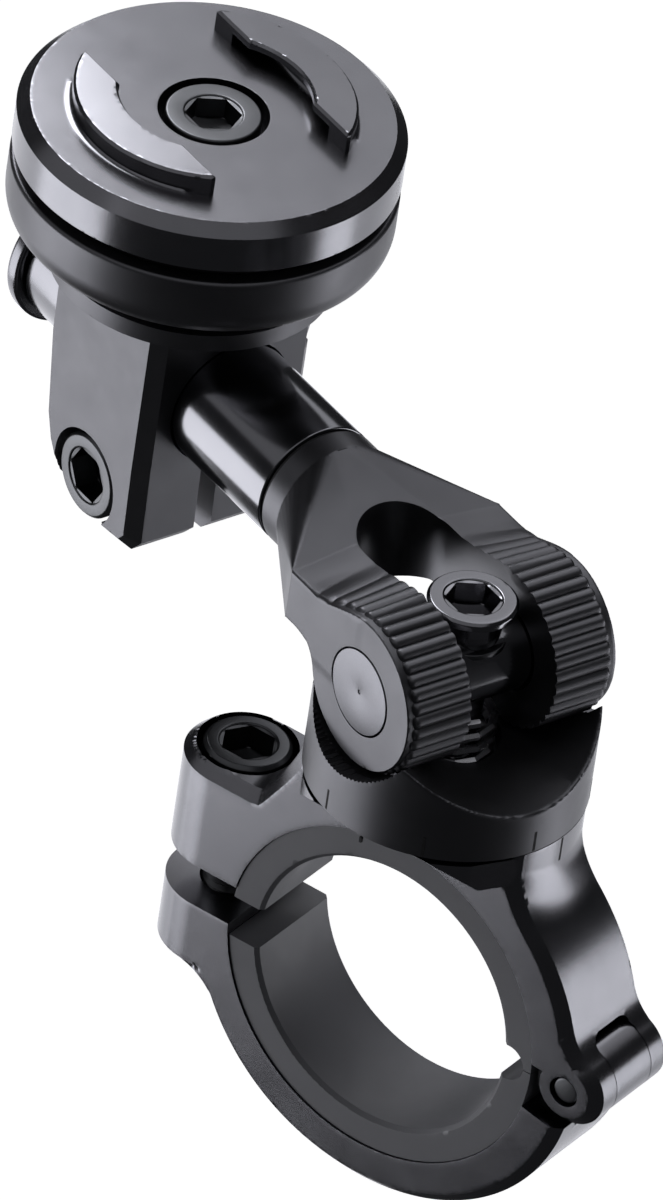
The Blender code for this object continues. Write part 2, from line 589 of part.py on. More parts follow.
def build_tab(head, side, label):
    """Bayonet tab: an arc outside, a chord with a hollow middle inside."""
    chord_angle = math.degrees(math.asin(TAB_CHORD / TAB_R_OUT))
    hollow_angle = math.degrees(math.asin(TAB_CHORD / TAB_R_IN))
    outer = arc((0, 0), TAB_R_OUT, chord_angle, 180 - chord_angle, 18)
    inner = arc((0, 0), TAB_R_IN, 180 - hollow_angle, hollow_angle, 10)
    outline = [(x, side * y) for x, y in outer + inner]
    sunk = 1.0
    middle = HEAD_FACE + (TAB_HEIGHT - sunk) / 2
    return plate("tab_" + label, outline, (TAB_HEIGHT + sunk) / 2, head, (-HEAD_D, 0, middle),
                 upright=False)


def main():
    base = Group("clamp_axis")
    jaw = Group("hinge_axis", base, (HINGE_X, 0, HINGE_Z))
    clamp_bolt = Group("clamp_bolt_axis", base, (LUG_X, 0, 0))
    build_clamp(base, jaw, clamp_bolt)
    swivel = Group("swivel_axis", base, turn=SWIVEL_REST)
    build_swivel(swivel)
    tension = Group("tension_bolt_axis", swivel)
    carriage = Group("carriage_axis", swivel, (0, 0, AXLE_Z))
    build_axle(carriage, tension)
    arm = Group("tilt_axis", carriage, (0, 0, AXLE_Z))
    build_fork(arm)
    build_tube(arm)
    slider = Group("slide_axis", arm, (-HEAD_D, 0, TUBE_Z))
    roller = Group("roll_axis", slider, (-HEAD_D, 0, TUBE_Z))
    pinch = Group("pinch_bolt_axis", roller, (-HEAD_D, 0, PINCH_Z))
    build_head_block(slider, roller, pinch)
    head = Group("head_axis", roller, (-HEAD_D, 0, FLANGE_TOP))
    head_screw = Group("head_bolt_axis", head, (-HEAD_D, 0, HEAD_FACE))
    build_head(head, head_screw)


clear_scene()
PARTS = make_collection("phone_mount")
CUTTERS = make_collection("cutters")
main()
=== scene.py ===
"""Looks of the handlebar phone mount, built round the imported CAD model.

Machined pieces are described as distance fields in millimetres and meshed with dual
contouring, which keeps their corners sharp.  Turned pieces are profiles spun about an axis.
The clamp is described in the row frame.  The upper works are described in the swivel frame,
with the arm along -X and the cross axle along Y, and then turned by SWIVEL_REST about +Z.
"""
import math

import bmesh
import bpy
import numpy as np
from mathutils import Matrix, Vector


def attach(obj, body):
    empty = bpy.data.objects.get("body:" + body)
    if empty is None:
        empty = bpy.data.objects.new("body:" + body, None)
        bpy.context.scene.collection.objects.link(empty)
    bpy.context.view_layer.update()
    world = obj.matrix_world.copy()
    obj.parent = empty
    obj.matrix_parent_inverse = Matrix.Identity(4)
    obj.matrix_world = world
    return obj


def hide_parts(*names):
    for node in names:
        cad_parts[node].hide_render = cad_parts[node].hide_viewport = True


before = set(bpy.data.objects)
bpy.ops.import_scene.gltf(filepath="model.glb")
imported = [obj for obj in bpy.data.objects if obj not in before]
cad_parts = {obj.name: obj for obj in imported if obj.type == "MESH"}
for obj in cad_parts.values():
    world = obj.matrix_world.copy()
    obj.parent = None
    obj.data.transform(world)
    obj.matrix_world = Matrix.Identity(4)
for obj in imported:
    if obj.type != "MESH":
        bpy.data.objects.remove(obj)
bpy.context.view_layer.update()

MM = 0.001
COARSE = 1.0

# Clamp, in millimetres
BORE_R, LINER_R, SEAT_R = 14.3, 17.6, 17.65
LINER_HALF_WIDTH, LINER_CHAMFER = 5.8, 0.4
CLAMP_R, CLAMP_HALF_WIDTH = 22.08, 6.0
EDGE_CHAMFER = 1.1
HINGE = (21.57, 0.46)
EAR_R, PIN_R, PIN_HOLE_R = 3.88, 1.4, 1.58
HINGE_FILLET_R = 6.0
KNUCKLE_HALF_WIDTH, WINDOW_HALF_WIDTH, WINDOW_TOP = 2.7, 2.8, 5.4
LUG_X, LUG_R = -21.96, 6.0
UPPER_LUG = (3.2, 14.6)
LOWER_LUG = (-9.0, -1.27)
LUG_FILLET_R, PLATFORM_FILLET_R = 5.0, 2.5
END_FACE_ANGLE = math.radians(-11.9)

# Swivel
SWIVEL_REST = math.radians(-19.15)
PLATFORM_R, PLATFORM_TOP = 13.64, 23.15
FLARE_FOOT, FLARE_SLOPE, FLARE_HALF_LENGTH = 17.4, 0.89, 11.9
FLARE_BOTTOM, FLARE_TOP, FLARE_END_SLOPE = 19.6, 22.7, 0.6
BASE_BOTTOM, BASE_TOP = 23.25, 32.6
AXLE_Z, AXLE_R = 36.76, 4.2
TEETH = 36
TOOTH_TIP, TOOTH_ROOT = 8.2, 7.78
TOOTH_END = 11.25                # the ridges stop short of the ears' outer faces
RIM_R = 8.5
EAR_INNER, EAR_OUTER = 4.9, 12.02
SCOOP_R, SCOOP_FLOOR = 16.0, 27.9

# Arm and head
NECK_X, WAIST_X, ARMS_END = -22.3, -12.3, -3.0
SLOT_X, SLOT_END_R = -10.7, 4.9
EDGE_ROUND = 0.3                # along the fork's flat sides
TUBE_R, TUBE_Z = 6.5, 39.7
COLLAR_END, TUBE_START, TUBE_END = 24.65, 25.25, 64.9
CAP_R, CAP_END = 7.43, 66.85
HEAD_X = -48.3
DISC_R, HEAD_FACE = 18.58, 68.0
TAB_SLOPE = 0.05                 # the bayonet tabs fall slightly towards their outer edges
BLOCK_HALF_WIDTH = 9.5

SQRT_HALF = math.sqrt(0.5)
TO_ROW_FRAME = Matrix.Rotation(SWIVEL_REST, 4, "Z")


# ---------------------------------------------------------------- distance fields

def round_union(a, b, radius):
    """Union with a concave fillet."""
    gap = np.hypot(np.maximum(radius - a, 0), np.maximum(radius - b, 0))
    return np.maximum(radius, np.minimum(a, b)) - gap


def round_intersection(a, b, radius):
    """Intersection with a rounded edge."""
    over = np.hypot(np.maximum(radius + a, 0), np.maximum(radius + b, 0))
    return np.minimum(-radius, np.maximum(a, b)) + over


def chamfer_intersection(a, b, leg):
    """Intersection with a 45 degree chamfer."""
    return np.maximum(np.maximum(a, b), (a + b + leg) * SQRT_HALF)


def most(*fields):
    """Intersection of several fields."""
    result = fields[0]
    for field in fields[1:]:
        result = np.maximum(result, field)
    return result


def least(*fields):
    """Union of several fields."""
    result = fields[0]
    for field in fields[1:]:
        result = np.minimum(result, field)
    return result


def polygon(x, y, corners):
    """Signed distance to a closed polygon."""
    nearest = np.full(x.shape, np.inf)
    inside = np.zeros(x.shape, bool)
    for (ax, ay), (bx, by) in zip(corners, corners[1:] + corners[:1]):
        ex, ey = bx - ax, by - ay
        along = np.clip(((x - ax) * ex + (y - ay) * ey) / (ex * ex + ey * ey), 0, 1)
        nearest = np.minimum(nearest, np.hypot(x - ax - ex * along, y - ay - ey * along))
        crosses = (ay > y) != (by > y)
        with np.errstate(divide="ignore", invalid="ignore"):
            edge_x = ax + (y - ay) * ex / (ey if ey else 1.0)
        inside ^= crosses & (x < edge_x)
    return np.where(inside, -nearest, nearest)


def rounded_box(x, y, half_x, half_y, radius):
    """Signed distance to a rectangle with rounded corners, centred on the origin."""
    ox, oy = np.abs(x) - half_x + radius, np.abs(y) - half_y + radius
    outside = np.hypot(np.maximum(ox, 0), np.maximum(oy, 0))
    return outside + np.minimum(np.maximum(ox, oy), 0) - radius


# ---------------------------------------------------------------- meshing

def near_surface(field, low, step, counts, stride=4):
    """Field values on a grid: exact near the surface, and only rightly signed elsewhere."""
    blocks = [-(-n // stride) + 1 for n in counts]
    axes = [low[i] + step * stride * np.arange(blocks[i]) for i in range(3)]
    nodes = np.stack(np.meshgrid(*axes, indexing="ij"), -1).reshape(-1, 3)
    rough = field(nodes).reshape(blocks)
    closest = np.full([n - 1 for n in blocks], np.inf)
    for i in (0, 1):
        for j in (0, 1):
            for k in (0, 1):
                corner = rough[i:blocks[0] - 1 + i, j:blocks[1] - 1 + j, k:blocks[2] - 1 + k]
                closest = np.minimum(closest, np.abs(corner))
    active = closest < step * stride * 1.9
    value = rough[:-1, :-1, :-1]
    wanted = active
    for axis in range(3):
        value = np.repeat(value, stride, axis)
        wanted = np.repeat(wanted, stride, axis)
    grown = wanted.copy()
    for axis in range(3):
        grown |= np.roll(grown, 1, axis)
    value = value.copy()
    picked = np.argwhere(grown)
    value[grown] = field(low + step * picked)
    return value


def gradient(field, points, reach):
    """Unit normals of a field at some points."""
    normals = np.empty_like(points)
    for axis in range(3):
        shift = np.zeros(3)
        shift[axis] = reach
        normals[:, axis] = field(points + shift) - field(points - shift)
    length = np.linalg.norm(normals, axis=1, keepdims=True)
    return normals / np.maximum(length, 1e-9)


def dual_contour(field, low, high, step):
    """Mesh the zero surface of a field, with one vertex for each crossed grid cell."""
    step *= COARSE
    low = np.array(low, float) - 1.37 * step
    counts = np.ceil((np.array(high) - low) / step).astype(int) + 3
    value = near_surface(field, low, step, counts)
    size = np.array(value.shape)
    inside = value < 0
    crossings, normals, owners, quads, flips = [], [], [], [], []
    for axis in range(3):
        along = np.eye(3, dtype=int)[axis]
        side = [np.eye(3, dtype=int)[(axis + 1) % 3], np.eye(3, dtype=int)[(axis + 2) % 3]]
        first = inside[tuple(slice(0, n - s) for n, s in zip(size, along))]
        second = inside[tuple(slice(s, n) for n, s in zip(size, along))]
        starts = np.argwhere(first != second)
        starts = starts[(starts > 0).all(1)]
        ends = starts + along
        a, b = low + step * starts, low + step * ends
        fa, fb = value[tuple(starts.T)], value[tuple(ends.T)]
        share = fa / (fa - fb)
        for _ in range(2):
            point = a + (b - a) * share[:, None]
            fp = field(point)
            hit = (fp < 0) == (fa < 0)
            a, fa = np.where(hit[:, None], point, a), np.where(hit, fp, fa)
            b, fb = np.where(hit[:, None], b, point), np.where(hit, fb, fp)
            share = np.clip(fa / np.where(fa == fb, 1.0, fa - fb), 0, 1)
        point = a + (b - a) * share[:, None]
        normal = gradient(field, point, 0.02 * step)
        around = [starts, starts - side[0], starts - side[0] - side[1], starts - side[1]]
        cells = [np.ravel_multi_index(c.T, size) for c in around]
        for cell in cells:
            crossings.append(point)
            normals.append(normal)
            owners.append(cell)
        quads.append(np.stack(cells, 1))
        flips.append(first[tuple(starts.T)])
    crossings, normals = np.concatenate(crossings), np.concatenate(normals)
    owners, quads, flips = np.concatenate(owners), np.concatenate(quads), np.concatenate(flips)
    used, index = np.unique(owners, return_inverse=True)
    total = len(used)
    count = np.bincount(index, minlength=total).astype(float)
    middle = np.stack([np.bincount(index, crossings[:, i], total) for i in range(3)], 1)
    middle /= count[:, None]
    offset = ((crossings - middle[index]) * normals).sum(1)
    matrix = np.empty((total, 3, 3))
    vector = np.empty((total, 3))
    for i in range(3):
        vector[:, i] = np.bincount(index, normals[:, i] * offset, total)
        for j in range(3):
            matrix[:, i, j] = np.bincount(index, normals[:, i] * normals[:, j], total)
    matrix += np.eye(3) * 0.02 * count[:, None, None]
    vertex = middle + np.linalg.solve(matrix, vector[..., None])[..., 0]
    corner = low + step * np.stack(np.unravel_index(used, size), 1)
    vertex = np.clip(vertex, corner - 0.1 * step, corner + 1.1 * step)
    where = np.searchsorted(used, quads)
    faces = np.where(flips[:, None], where, where[:, ::-1])
    return vertex, faces


def contoured(name, field, low, high, step=0.25, turn=True):
    """Object from a distance field.  `turn` takes it from the swivel frame to the row frame."""
    vertex, faces = dual_contour(field, low, high, step)
    mesh = bpy.data.meshes.new(name)
    mesh.from_pydata((vertex * MM).tolist(), [], faces.tolist())
    return place(name, mesh, turn)


def place(name, mesh, turn, sharp=30):
    """Link a mesh as an object, smooth between its sharp edges."""
    if turn:
        mesh.transform(TO_ROW_FRAME)
    mesh.validate()
    mesh.update()
    mesh.shade_smooth()
    mesh.set_sharp_from_angle(angle=math.radians(sharp))
    obj = bpy.data.objects.new(name, mesh)
    bpy.context.scene.collection.objects.link(obj)
    return obj


def softened(corners, radius, steps=4):
    """Round the corners of an open (radius, height) profile."""
    points = [corners[0]]
    for before, corner, after in zip(corners, corners[1:], corners[2:]):
        b, c, a = Vector(before), Vector(corner), Vector(after)
        cut = min(radius, (b - c).length * 0.45, (a - c).length * 0.45)
        start, end = c + (b - c).normalized() * cut, c + (a - c).normalized() * cut
        for i in range(steps + 1):
            t = i / steps
            points.append(tuple(start * (1 - t) ** 2 + c * 2 * t * (1 - t) + end * t ** 2))
    points.append(corners[-1])
    return points


def turned(name, profile, origin=(0, 0, 0), axis=(0, 0, 1), turn=True, radius=0.15, segments=160,
           shape=None):
    """Spin a (radius, height) profile; a profile that starts off the axis makes a closed ring.

    `shape` is a function of (radius, height, angle) that changes the radius."""
    closed = profile[0][0] > 0
    corners = profile[-1:] + profile + profile[:1] if closed else profile
    outline = softened(corners, radius)
    if closed:
        outline = outline[1:-1]
    bm = bmesh.new()
    columns = []
    for s in range(segments):
        angle = math.tau * s / segments
        column = []
        for r, h in outline:
            if r < 1e-6 and s:
                column.append(columns[0][len(column)])
                continue
            r = shape(r, h, angle) if shape and r > 1e-6 else r
            column.append(bm.verts.new((r * math.cos(angle), r * math.sin(angle), h)))
        columns.append(column)
    rows = len(outline) if closed else len(outline) - 1
    for s in range(segments):
        left, right = columns[s], columns[(s + 1) % segments]
        for i in range(rows):
            j = (i + 1) % len(outline)
            ring = [left[i], left[j], right[j], right[i]]
            ring = [v for k, v in enumerate(ring) if v not in ring[:k]]
            if len(ring) > 2:
                bm.faces.new(ring)
    bmesh.ops.recalc_face_normals(bm, faces=bm.faces)
    aim = Vector((0, 0, 1)).rotation_difference(Vector(axis)).to_matrix().to_4x4()
    bmesh.ops.transform(bm, matrix=Matrix.Scale(MM, 4) @ Matrix.Translation(origin) @ aim, verts=bm.verts)
    mesh = bpy.data.meshes.new(name)
    bm.to_mesh(mesh)
    bm.free()
    return place(name, mesh, turn)


# ---------------------------------------------------------------- handlebar clamp

def fillet_centre(side):
    """Centre of the hollow between the ring and the hinge ear, above (1) or below (-1)."""
    reach_ring, reach_ear = CLAMP_R + HINGE_FILLET_R, EAR_R + HINGE_FILLET_R
    span = math.hypot(*HINGE)
    cosine = (reach_ring ** 2 + span ** 2 - reach_ear ** 2) / (2 * reach_ring * span)
    angle = math.atan2(HINGE[1], HINGE[0]) + side * math.acos(cosine)
    return reach_ring * math.cos(angle), reach_ring * math.sin(angle)


def hinge_outline(x, z, side):
    """Ring, hinge ear and the hollow curve that joins them."""
    cx, cz = fillet_centre(side)
    ring = np.hypot(x, z) - CLAMP_R
    ear = np.hypot(x - HINGE[0], z - HINGE[1]) - EAR_R
    web = most(polygon(x, z, [(0.0, 0.0), HINGE, (cx, cz)]), HINGE_FILLET_R - np.hypot(x - cx, z - cz))
    return least(ring, ear, web)


def clamp_plan(x, y):
    """Plan of the clamp: parallel sides, with a round end at the lug."""
    return np.where(x < LUG_X, np.hypot(x - LUG_X, y) - LUG_R, np.abs(y) - CLAMP_HALF_WIDTH)


def upper_clamp_field(p):
    x, y, z = p.T
    low, high = UPPER_LUG
    wall = np.hypot(x, y) - PLATFORM_R
    side = np.abs(y) - CLAMP_HALF_WIDTH
    ring = most(hinge_outline(x, z, 1), HINGE[1] - z)
    ear = np.hypot(x - HINGE[0], z - HINGE[1]) - EAR_R
    lug = most(z - high, low - 4 - z, x + 12)
    fillet_r = np.where(x > 0, PLATFORM_FILLET_R, LUG_FILLET_R)
    outline = round_union(least(ring, lug), most(wall, 8 - z), fillet_r)
    body = chamfer_intersection(least(outline, ear), clamp_plan(x, y), EDGE_CHAMFER)
    slope = (side * FLARE_SLOPE - z + FLARE_FOOT) / math.hypot(1, FLARE_SLOPE)
    end = (np.abs(x) - FLARE_HALF_LENGTH + FLARE_END_SLOPE * side) / math.hypot(1, FLARE_END_SLOPE)
    flare = most(wall, slope, end, FLARE_BOTTOM - z, z - FLARE_TOP)
    body = most(least(body, flare), z - PLATFORM_TOP)
    split = np.where(x < 0, low - z, -1.0)
    window = most(rounded_box(y, z, WINDOW_HALF_WIDTH, WINDOW_TOP, 1.2), 16.5 - x)
    bolt = np.hypot(x - LUG_X, y)
    cuts = least(np.hypot(x, z) - SEAT_R, window,
                 np.hypot(x - HINGE[0], z - HINGE[1]) - PIN_HOLE_R,
                 bolt - 3.0, most(bolt - 4.9, 9.0 - z), np.hypot(x, y) - 4.0)
    return most(body, split, -cuts)


def lower_clamp_field(p):
    x, y, z = p.T
    low, high = LOWER_LUG
    low_pocket = -1.9                       # the threaded insert sits below this height
    ring = np.hypot(x, z) - CLAMP_R
    cz = low - LUG_FILLET_R
    cx = -math.sqrt((CLAMP_R + LUG_FILLET_R) ** 2 - cz ** 2)
    lug = most(low - z, z - 4, x + 12)
    hollow = most(polygon(x, z, [(0.0, 0.0), (cx, cz), (cx, low + 1)]),
                  LUG_FILLET_R - np.hypot(x - cx, z - cz))
    body = chamfer_intersection(least(ring, lug, hollow), clamp_plan(x, y), EDGE_CHAMFER)
    end = math.cos(END_FACE_ANGLE) * z - math.sin(END_FACE_ANGLE) * x
    body = most(body, np.where(x < 0, z - high, end))
    tongue = most(hinge_outline(x, z, -1), z - HINGE[1], 10 - x)
    knuckle = least(tongue, np.hypot(x - HINGE[0], z - HINGE[1]) - EAR_R)
    body = least(body, most(knuckle, np.abs(y) - KNUCKLE_HALF_WIDTH))
    bolt = np.hypot(x - LUG_X, y)
    cuts = least(np.hypot(x, z) - SEAT_R, bolt - 2.75, most(bolt - 4.2, z - low_pocket),
                 np.hypot(x - HINGE[0], z - HINGE[1]) - PIN_R)
    return most(body, -cuts)


def liner_field(side):
    """Half of the bar liner: upper for side 1, lower for side -1."""
    lug_end = 2.0 if side > 0 else 2.5
    hinge_end = 0.3 if side > 0 else -0.2

    def field(p):
        x, y, z = p.T
        r = np.hypot(x, z)
        body = chamfer_intersection(BORE_R - r, np.abs(y) - LINER_HALF_WIDTH, LINER_CHAMFER)
        body = most(body, r - LINER_R, 1.9 - np.hypot(x - 14.8, z - 0.2))
        return most(body, np.where(x < 0, lug_end - side * z, hinge_end - side * z))
    return field


def build_clamp():
    ring_box = ((-28.2, -13.8, -4.0), (25.8, 13.8, 23.4))
    upper = contoured("upper_clamp_forging", upper_clamp_field, *ring_box, step=0.28, turn=False)
    finish(upper, "clamp", "upper_clamp", BLACK_SATIN, "upper_clamp")
    lower = contoured("lower_clamp_forging", lower_clamp_field, (-28.2, -6.2, -22.5), (25.8, 6.2, 4.6),
                      step=0.28, turn=False)
    finish(lower, "lower_jaw", "lower_clamp", BLACK_SATIN, "lower_clamp")
    for name, side, body in (("liner_upper", 1, "clamp"), ("liner_lower", -1, "lower_jaw")):
        liner = contoured(name + "_shell", liner_field(side), (-17.8, -6, -17.8), (17.8, 6, 17.8),
                          step=0.3, turn=False)
        finish(liner, body, name, LINER, name)
    pin = turned("hinge_pin_rod", [(0, 5.7), (PIN_R, 5.7), (PIN_R, -5.7), (0, -5.7)],
                 (HINGE[0], 0, HINGE[1]), (0, -1, 0), turn=False, radius=0.3)
    finish(pin, "clamp", "hinge_pin", STEEL, "hinge_pin")
    bolt = cap_screw("clamp_screw", (LUG_X, 0, 14.9), (0, 0, 1), 4.8, 21.1, turn=False)
    finish(bolt, "clamp_screw", "clamp_bolt", STEEL, "clamp_bolt")
    build_ticks()


def tick(name, body, radius, angle, low, high, turn):
    """Thin index line let into a round wall."""
    half = 0.13
    bm = bmesh.new()
    bmesh.ops.create_cube(bm, size=1.0)
    size = Vector((0.3, 2 * half, high - low)) * MM
    bmesh.ops.scale(bm, vec=size, verts=bm.verts)
    bmesh.ops.bevel(bm, geom=[e for e in bm.edges if abs(e.verts[0].co.z - e.verts[1].co.z) < 1e-9],
                    offset=0.06 * MM, segments=2, affect="EDGES")
    middle = Vector((radius - 0.13, 0, (low + high) / 2)) * MM
    bmesh.ops.transform(bm, matrix=Matrix.Rotation(angle, 4, "Z") @ Matrix.Translation(middle),
                        verts=bm.verts)
    mesh = bpy.data.meshes.new(name)
    bm.to_mesh(mesh)
    bm.free()
    line = place(name, mesh, turn)
    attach(line, body)
    line.data.materials.append(ENGRAVED)


def build_ticks():
    """Index lines on the platform, every 90 degrees, and on the swivel base, every 45."""
    for i in range(4):
        tick(f"platform_tick_{i + 1}", "clamp", PLATFORM_R, math.pi / 2 * i,
             PLATFORM_TOP - (2.8 if i in (0, 2) else 0.75), PLATFORM_TOP - 0.05, False)
    for i in range(8):
        angle = math.radians(-16.9 - 46.7 * i) if i < 3 else math.radians(-16.9 - 45 * i)
        tick(f"base_tick_{i + 1}", "turntable", PLATFORM_R, angle,
             BASE_BOTTOM + 0.05, BASE_BOTTOM + 2.4, False)


# ---------------------------------------------------------------- screws

def hexagonal(r, angle):
    """Radius at an angle of a hexagon whose corners are at radius r."""
    turn = angle % (math.pi / 3) - math.pi / 6
    return r * math.cos(math.pi / 6) / math.cos(turn)


def screw(name, head, shank, socket_r, socket, origin, axis, turn):
    """Screw from the profiles of its head and shank, with a hexagon socket in its top face.

    Each profile is a list of (radius, height); the top face is at height 0, at `origin`."""
    floor = [(0, -socket - 0.25 * socket_r), (socket_r, -socket), (socket_r, -0.12)]

    def shape(r, h, angle):
        if h < 0 and abs(r - socket_r) < 1e-6 and h >= -socket:
            return hexagonal(r, angle)
        pitch, shank_r, start, end = shank
        if abs(r - shank_r) > 0.01 or not end + 0.5 < h < start - 0.8:
            return r
        phase = (h / pitch + angle / math.tau) % 1.0
        return shank_r - 0.4 * abs(2 * phase - 1)
    pitch, shank_r, start, end = shank
    rows = int((start - end) / pitch * 6)
    thread = [(shank_r, start + (end - start) * i / rows) for i in range(rows + 1)]
    profile = floor + [(socket_r + 0.15, 0)] + head + thread + [(0, end)]
    return turned(name, profile, origin, axis, turn, radius=0.1, segments=72, shape=shape)


def cap_screw(name, origin, axis, head, length, head_r=4.3, bevel=0.4, socket_r=2.75, socket=2.8, turn=True):
    """M5 cap screw whose head's top face is at `origin`."""
    outline = [(head_r - bevel, 0), (head_r, -bevel), (head_r, -head)]
    return screw(name, outline, (0.8, 2.5, -head, -length), socket_r, socket, origin, axis, turn)


# ---------------------------------------------------------------- swivel and fork

def tooth_radius(angle):
    """Radius of the toothed surface at an angle about the cross axle."""
    wave = np.abs(np.cos(TEETH / 2 * angle)) ** 0.7
    return TOOTH_ROOT + (TOOTH_TIP - TOOTH_ROOT) * wave


def swivel_base_field(p):
    x, y, z = p.T
    reach, angle = np.hypot(x, z - AXLE_Z), np.arctan2(z - AXLE_Z, x)
    body = most(np.hypot(x, y) - PLATFORM_R, z - BASE_TOP, BASE_BOTTOM - z)
    scoop = np.hypot(y, z - SCOOP_FLOOR - SCOOP_R) - SCOOP_R
    wide = np.abs(y)
    rim = np.where(wide > EAR_OUTER, RIM_R + 0.07 * np.cos(3 * TEETH * angle), RIM_R)
    gripping = (wide > EAR_INNER + 0.6) & (wide < TOOTH_END - 0.9)
    cradle = (reach - np.where(gripping, tooth_radius(angle) + 0.14, rim)) * 0.6
    body = round_intersection(body, -scoop, 0.35)
    pocket = most(np.hypot(x, y) - 4.6, 25 - z)
    return most(body, -least(cradle, pocket, np.hypot(x, y) - 2.8))


def hull_planes(points):
    """Unit normals and offsets of the convex hull's faces."""
    bm = bmesh.new()
    for point in points:
        bm.verts.new(point)
    bmesh.ops.convex_hull(bm, input=bm.verts)
    bmesh.ops.recalc_face_normals(bm, faces=bm.faces)
    planes = {}
    for face in bm.faces:
        if face.calc_area() > 1e-3:
            key = tuple(round(v, 3) for v in face.normal)
            planes[key] = (np.array(face.normal), float(face.normal.dot(face.verts[0].co)))
    bm.free()
    return list(planes.values())


def fork_hulls():
    """Faceted neck between the round collar and the waist, and the top and bottom of the arms."""
    ends = [(side * y, TUBE_Z + up * z) for side in (-1, 1) for up in (-1, 1)
            for y, z in ((EAR_OUTER, 2.7), (EAR_INNER, 3.62))]
    angles = [math.tau * i / 48 for i in range(48)]
    circle = [(NECK_X, TUBE_R * math.cos(a), TUBE_Z + TUBE_R * math.sin(a)) for a in angles]
    waist = [(WAIST_X, y, z) for y, z in ends]
    root = [(ARMS_END, y, z) for y, z in ends]
    arms = [(normal, offset) for normal, offset in hull_planes(waist + root) if abs(normal[2]) > 0.5]
    return hull_planes(circle + waist), arms


def plane_field(p, planes):
    """Convex field of a hull."""
    result = np.full(len(p), -np.inf)
    for normal, offset in planes:
        result = np.maximum(result, p @ normal - offset)
    return result


def fork_field():
    neck, arms = fork_hulls()

    def field(p):
        x, y, z = p.T
        wide = np.abs(y)
        reach, angle = np.hypot(x, z - AXLE_Z), np.arctan2(z - AXLE_Z, x)
        toothed = (reach - tooth_radius(angle)) * 0.7
        ridges = round_intersection(toothed, wide - TOOTH_END, 0.4)
        ears = least(ridges, most(reach - TOOTH_ROOT, wide - EAR_OUTER))
        side = wide - EAR_OUTER
        body = round_union(ears, most(plane_field(p, arms), x - ARMS_END), 2.4)
        body = most(round_intersection(body, side, EDGE_ROUND), WAIST_X - 0.05 - x)
        collar = most(np.hypot(y, z - TUBE_Z) - TUBE_R, -COLLAR_END - x, x - NECK_X - 0.2)
        slot = least(most(wide - EAR_INNER, SLOT_X - x), np.hypot(x - SLOT_X, y) - SLOT_END_R)
        cuts = least(slot, reach - AXLE_R - 0.25)
        return most(least(body, most(plane_field(p, neck), side), collar), -cuts)
    return field


def axle_field(p):
    x, y, z = p.T
    bar = round_intersection(np.hypot(x, z - AXLE_Z) - AXLE_R, np.abs(y) - 8.8, 0.4)
    return most(bar, 3.0 - np.hypot(x, y))


def build_swivel():
    base = contoured("swivel_base_casting", swivel_base_field, (-13.8, -13.8, 23), (13.8, 13.8, 32.8),
                     step=0.2)
    finish(base, "turntable", "swivel_base", BLACK_MATTE, "swivel_base")
    fork = contoured("fork_casting", fork_field(), (-24.9, -12.2, 28), (8.5, 12.2, 46.6), step=0.19)
    finish(fork, "arm", "fork", BLACK_MATTE, "fork")
    axle = contoured("cross_axle_bar", axle_field, (-4.4, -9, 32.4), (4.4, 9, 41.1))
    finish(axle, "carriage", "cross_axle", BLACK_GLOSS, "cross_axle")
    for name, side in (("axle_cap_left", -1), ("axle_cap_right", 1)):
        cap = turned(name + "_disc", [(0, -0.12), (0.12, -0.12), (0.22, 0), (4.28, 0), (4.28, -3.0), (0, -3.0)],
                     (0, side * 12.0, AXLE_Z), (0, side, 0), radius=0.08)
        finish(cap, "arm", name, TURNED_FACE, name)
    build_tension_bolt()


def build_tension_bolt():
    """Wide flat head on a tapered barrel that runs down into the cross axle."""
    head = [(4.1, 0), (4.38, -0.28), (4.38, -0.9), (3.45, -1.45), (3.2, -2.6), (2.85, -5.2), (2.45, -6.6)]
    bolt = screw("tension_screw_body", head, (0.8, 2.45, -7.6, -25.0), 2.75, 2.6, (0, 0, 44.03), (0, 0, 1), True)
    finish(bolt, "tension_screw", "tension_bolt", BLACK_GLOSS, "tension_bolt")
    sleeve = turned("tension_sleeve_bush", [(3.7, 39.9), (3.7, 39.3), (2.95, 39.3), (2.95, 39.9)])
    finish(sleeve, "carriage", "tension_sleeve", STEEL, "tension_sleeve")


# ---------------------------------------------------------------- arm and head

def build_arm():
    along = (-1, 0, 0)
    start = (0, 0, TUBE_Z)
    tube = turned("arm_tube_shaft", [(0, TUBE_END - 0.3), (TUBE_R, TUBE_END - 0.3), (TUBE_R, TUBE_START),
                                     (0, TUBE_START)], start, along, radius=0.2)
    finish(tube, "arm", "arm_tube", BLACK_GLOSS, "arm_tube")
    seal = turned("collar_seal", [(TUBE_R - 0.3, TUBE_START - 0.03), (TUBE_R - 0.3, COLLAR_END + 0.03),
                                  (4.0, COLLAR_END + 0.03), (4.0, TUBE_START - 0.03)], start, along)
    finish(seal, "arm", "collar_ring", SEAL, "collar_ring")
    plug = turned("tube_end_flange", [(0, CAP_END), (6.7, CAP_END), (CAP_R, CAP_END - 0.4), (CAP_R, TUBE_END + 0.1),
                                     (0, TUBE_END + 0.1)],
                  start, along, radius=0.35)
    finish(plug, "arm", "tube_end_cap", BLACK_SATIN, "tube_end_cap")


